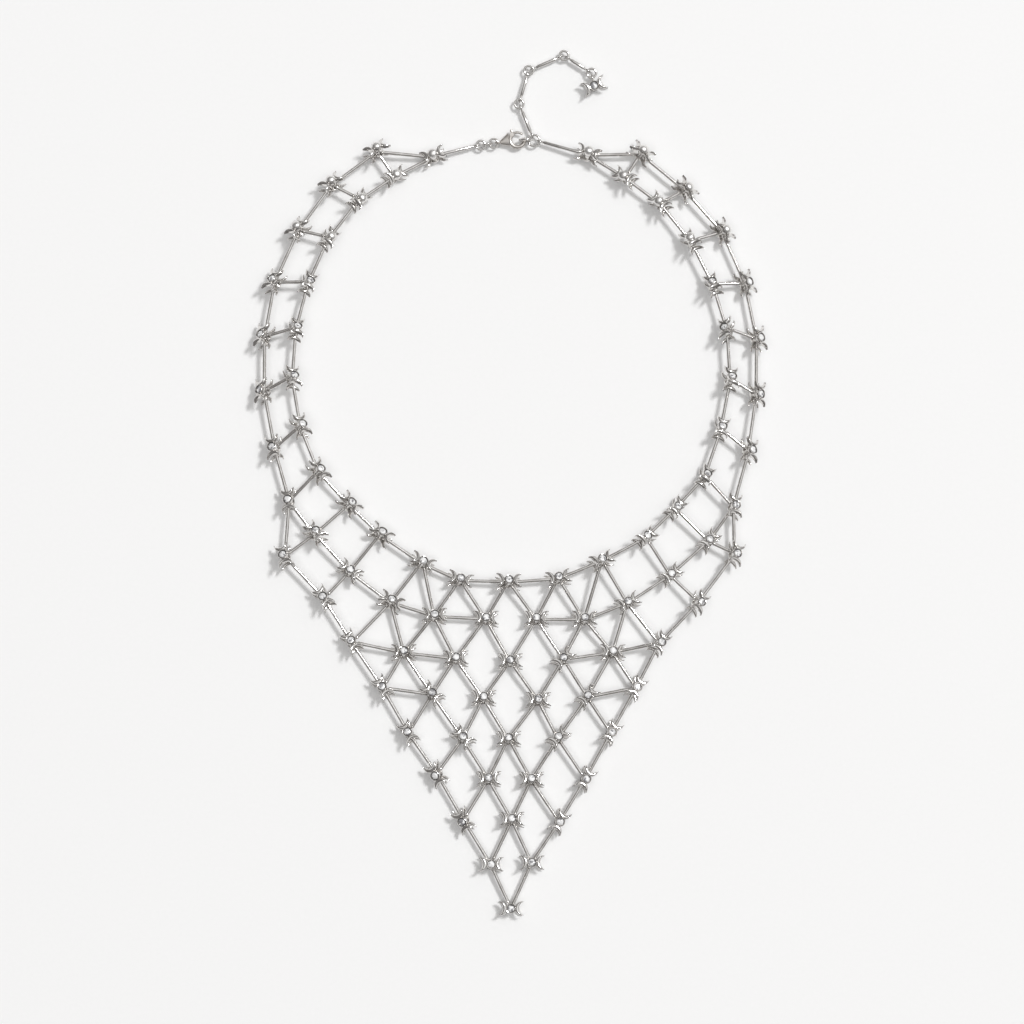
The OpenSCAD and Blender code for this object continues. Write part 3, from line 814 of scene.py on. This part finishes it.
def eyed_bar(p, q, eye_at_q=True):
    """A bar with an upright eye at p, and at q if asked."""
    s, v = Shape(), q - p
    d = v.normalized()
    b = q - d * EYE_R if eye_at_q else q
    a = p + d * EYE_R
    s.torus(p, EYE_R, EYE_WIRE, upright(v), 24, 10)
    if eye_at_q:
        s.torus(q, EYE_R, EYE_WIRE, upright(v), 24, 10)
    n = (b - a).length
    far_end = NECKED_END if eye_at_q else BLUNT_END
    run = NECKED_END + [(n - t, r) for t, r in reversed(far_end)]
    return s.tube([a + d * t for t, _ in run], [r for _, r in run], 20)


def link_bar(start, start_r, to):
    """A bar of the extension, from one ring's edge to the next ring's."""
    d = (to - start).normalized()
    return eyed_bar(start + d * start_r, to - d * RING_R)


left, right = neck(-1, 1), neck(1, 1)
place(eyed_bar(LEFT_EYE, left.hook(LEFT_EYE), False), "end_bar_left_silver", "end_bar_left")
place(eyed_bar(RIGHT_EYE, right.hook(RIGHT_EYE), False), "end_bar_right_silver", "end_bar_right")
chain = [END_RING] + RINGS
for i in range(4):
    place(link_bar(chain[i], END_RING_R if i == 0 else RING_R, chain[i + 1]),
          "extension_bar_%d_silver" % (i + 1), "extension_bar_%d" % (i + 1))

rings = Shape()
run = CLASP_EYE - LEFT_EYE
rings.torus(LEFT_EYE + run.normalized() * RING_R, RING_R, RING_WIRE, FLAT)
rings.torus(LEFT_EYE + run / 2, SMALL_RING_R, RING_WIRE - 0.05, upright(run))
rings.torus(CLASP_EYE - run.normalized() * RING_R, RING_R, RING_WIRE, FLAT)
place(rings, "clasp_rings_silver", "clasp_rings")
rings = Shape()
rings.torus(HOOK_RING, HOOK_RING_R, RING_WIRE, upright(Vector((1, 0, 0))))
rings.torus(END_RING, END_RING_R, RING_WIRE, FLAT)
for p in RINGS:
    rings.torus(p, RING_R, RING_WIRE, FLAT)
place(rings, "chain_rings_silver", "chain_rings")


def charm_shape():
    """One more moon link, hung from the last ring by an eye and a short stem."""
    s = moon_shape(True)
    turned = Matrix.Translation(CHARM.foot) @ CHARM.turn.to_matrix().to_4x4()
    s.points = [turned @ p for p in s.points]
    v = CHARM.foot - RINGS[3]
    d = v.normalized()
    s.torus(RINGS[3] + d * RING_R, EYE_R, EYE_WIRE, upright(v), 24, 10)
    return s.tube([RINGS[3] + d * (RING_R + EYE_R), CHARM.foot], CHARM_STEM_R, 12)


place(charm_shape(), "end_charm_silver", "end_charm")
stones.append((0, CHARM.foot, CHARM.turn, ONE))
stone_piece = grow("crystals", stone_tree, ["Stone"], [stone_part], stones, CRYSTAL)
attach(stone_piece, "root")
# Painted shade: a dark ring in every stone's groove.
groove_shade_rings = grow("stone_grooves", stone_tree, ["Stone"], [groove_shade_part], stones, GROOVE_SHADE)
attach(groove_shade_rings, "root")
dome_piece = grow("plain_domes", stone_tree, ["Stone"], [dome_part], domes, DOME)
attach(dome_piece, "root")


def claw_point(a, r=CLAW_R, z=0.0):
    a = math.radians(a)
    return CLAW_MIDDLE + Vector((r * math.cos(a), r * math.sin(a), z))


# The lever's hinge stands at this angle on the claw, the thumb knob at the other.
HINGE_AT, KNOB_AT = 138, 124
HINGE = claw_point(HINGE_AT)
# Angles round the claw, in degrees, that its hook and the lever run through.
CLAW_ROUND = [-200 + i * 220 / 30 for i in range(31)]
LEVER_R = 0.38
LEVER_ROUND = [44 + i * (134 - 44) / 18 for i in range(19)]
# Outlines as (radius, height) round the hinge: a cheek, the pin, the lever's knuckle, the knob.
CHEEK = [(AXIS_R, 0), (0.65, 0), (0.75, 0.1), (0.75, 0.35), (0.65, 0.45), (AXIS_R, 0.45)]
CHEEK_MIDDLE = 0.225
PIN = [(AXIS_R, -0.7), (0.3, -0.7), (0.3, 0.7), (AXIS_R, 0.7)]
KNUCKLE = [(0.42, -0.33), (0.7, -0.33), (0.75, -0.2), (0.75, 0.2), (0.7, 0.33), (0.42, 0.33),
           (0.42, -0.33)]
KNOB = [(AXIS_R, -0.4), (0.3, -0.3), (0.43, 0), (0.3, 0.3), (AXIS_R, 0.4)]


def clasp_wedge():
    """The rings of the clasp's back, which swells from the tail eye to the claw."""
    tail = CLASP_EYE + Vector((EYE_R, 0.05, 0))
    shoulder = claw_point(180, CLAW_R + 0.1)
    across = (shoulder - tail).normalized().cross(Vector((0, 0, 1)))
    wedge = []
    for i in range(13):
        t = i / 12
        p = tail.lerp(shoulder, t)
        half, height = 0.6 + 1.5 * t, 0.42 + 0.2 * t
        ring = []
        for j in range(20):
            a = 2 * math.pi * j / 20
            ring.append(p + across * (half * math.cos(a)) + Vector((0, 0, height * math.sin(a))))
        wedge.append(ring)
    return wedge


def clasp_body_shape():
    """A flat claw with its back, tail eye, two cheeks for the lever and the pin."""
    s = Shape()
    radii = [0.65 - 0.13 * max(0, (a + 60) / 80) for a in CLAW_ROUND]
    s.tube([claw_point(a) for a in CLAW_ROUND], [AXIS_R] + radii[1:-1] + [AXIS_R], 16)
    s.rings(clasp_wedge())
    s.torus(CLASP_EYE, EYE_R, EYE_WIRE, upright(Vector((1, 0, 0))), 24, 10)
    for z in (0.45, -0.9):
        s.lathe(CHEEK, 20, HINGE + Vector((0, 0, z)))
        level = z + CHEEK_MIDDLE
        arm = [HINGE + Vector((0, 0, level)), claw_point(160, CLAW_R, level),
               claw_point(178, CLAW_R, level)]
        s.tube(arm, [0.4, 0.5, 0.5], 12, flat=0.45)
    return s.lathe(PIN, 14, HINGE)


def clasp_lever_shape():
    """The lever that closes the claw, with its knuckle round the pin and a thumb knob."""
    s = Shape()
    radii = [AXIS_R] + [LEVER_R] * (len(LEVER_ROUND) - 2) + [AXIS_R]
    s.tube([claw_point(a) for a in LEVER_ROUND], radii, 14, flat=0.88)
    s.lathe(KNUCKLE, 20, HINGE)
    s.tube([claw_point(KNOB_AT), claw_point(KNOB_AT, CLAW_R + 1.1)], 0.33, 12)
    return s.lathe(KNOB, 16, claw_point(KNOB_AT, CLAW_R + 1.05))


place(clasp_body_shape(), "clasp_body_silver", "clasp_body", SATIN)
place(clasp_lever_shape(), "clasp_lever_silver", "clasp_lever", SATIN, "clasp_lever")

# ---------------------------------------------------------------- table and light
bpy.ops.mesh.primitive_plane_add(size=3.0, location=(0, 0, 0))
floor = bpy.context.object
floor.name = "table"
floor.data.materials.append(table_top())

world = bpy.data.worlds.new("studio")
bpy.context.scene.world = world
world.use_nodes = True
wt = world.node_tree
wt.nodes.clear()
# A bright patch high up on the lamp's side and greyer walls, so that the metal has both.
WINDOW = Vector((0.32, 0.26, 0.91)).normalized()
where = add(wt, "ShaderNodeTexCoord")
toward = add(wt, "ShaderNodeVectorMath", operation="DOT_PRODUCT")
toward.inputs[1].default_value = WINDOW
shade = add(wt, "ShaderNodeValToRGB")
stops = ((0.0, "72706f"), (0.55, "908e8d"), (0.74, "b4b3b1"), (0.86, "efefee"), (1.0, "ffffff"))
for i, (at, tint) in enumerate(stops):
    ramp = shade.color_ramp.elements
    stop = ramp[i] if i < 2 else ramp.new(at)
    stop.position, stop.color = at, srgb(tint)
glow = add(wt, "ShaderNodeBackground", Strength=0.91)
sky = add(wt, "ShaderNodeOutputWorld")
wt.links.new(where.outputs["Generated"], toward.inputs[0])
wt.links.new(toward.outputs["Value"], shade.inputs["Fac"])
wt.links.new(shade.outputs["Color"], glow.inputs["Color"])
wt.links.new(glow.outputs[0], sky.inputs["Surface"])


def softbox(name, where, size, power):
    """A square white lamp, aimed at the middle of the table."""
    lamp = bpy.data.lights.new(name, "AREA")
    lamp.shape = "RECTANGLE"
    lamp.size, lamp.size_y = size, size
    lamp.energy = power
    o = bpy.data.objects.new(name, lamp)
    bpy.context.scene.collection.objects.link(o)
    o.location = where
    o.rotation_euler = (-Vector(where)).to_track_quat("-Z", "Y").to_euler()
    return o


softbox("key_softbox", (2.8, 2.32, 4.96), 1.0, 208)
# The fill lightens the shadows and is itself kept out of the reflections.
fill = softbox("overhead_fill", (-0.9, -0.8, 3.6), 2.4, 25)
fill.visible_glossy = False

# The camera looks straight down and takes in this width at the height of the links.
VIEW_WIDTH, LINK_DISTANCE, SENSOR_WIDTH = 0.3072, 0.997, 36
camera = bpy.data.cameras.new("camera")
camera.sensor_width = SENSOR_WIDTH
camera.lens = SENSOR_WIDTH * LINK_DISTANCE / VIEW_WIDTH
camera.clip_start = 0.01
eye = bpy.data.objects.new("camera", camera)
bpy.context.scene.collection.objects.link(eye)
eye.location = (0.00048, -0.00875, 1.0)
bpy.context.scene.camera = eye

# White paper is to come out white, so the picture's tones are left uncompressed.
bpy.context.scene.view_settings.view_transform = "Standard"
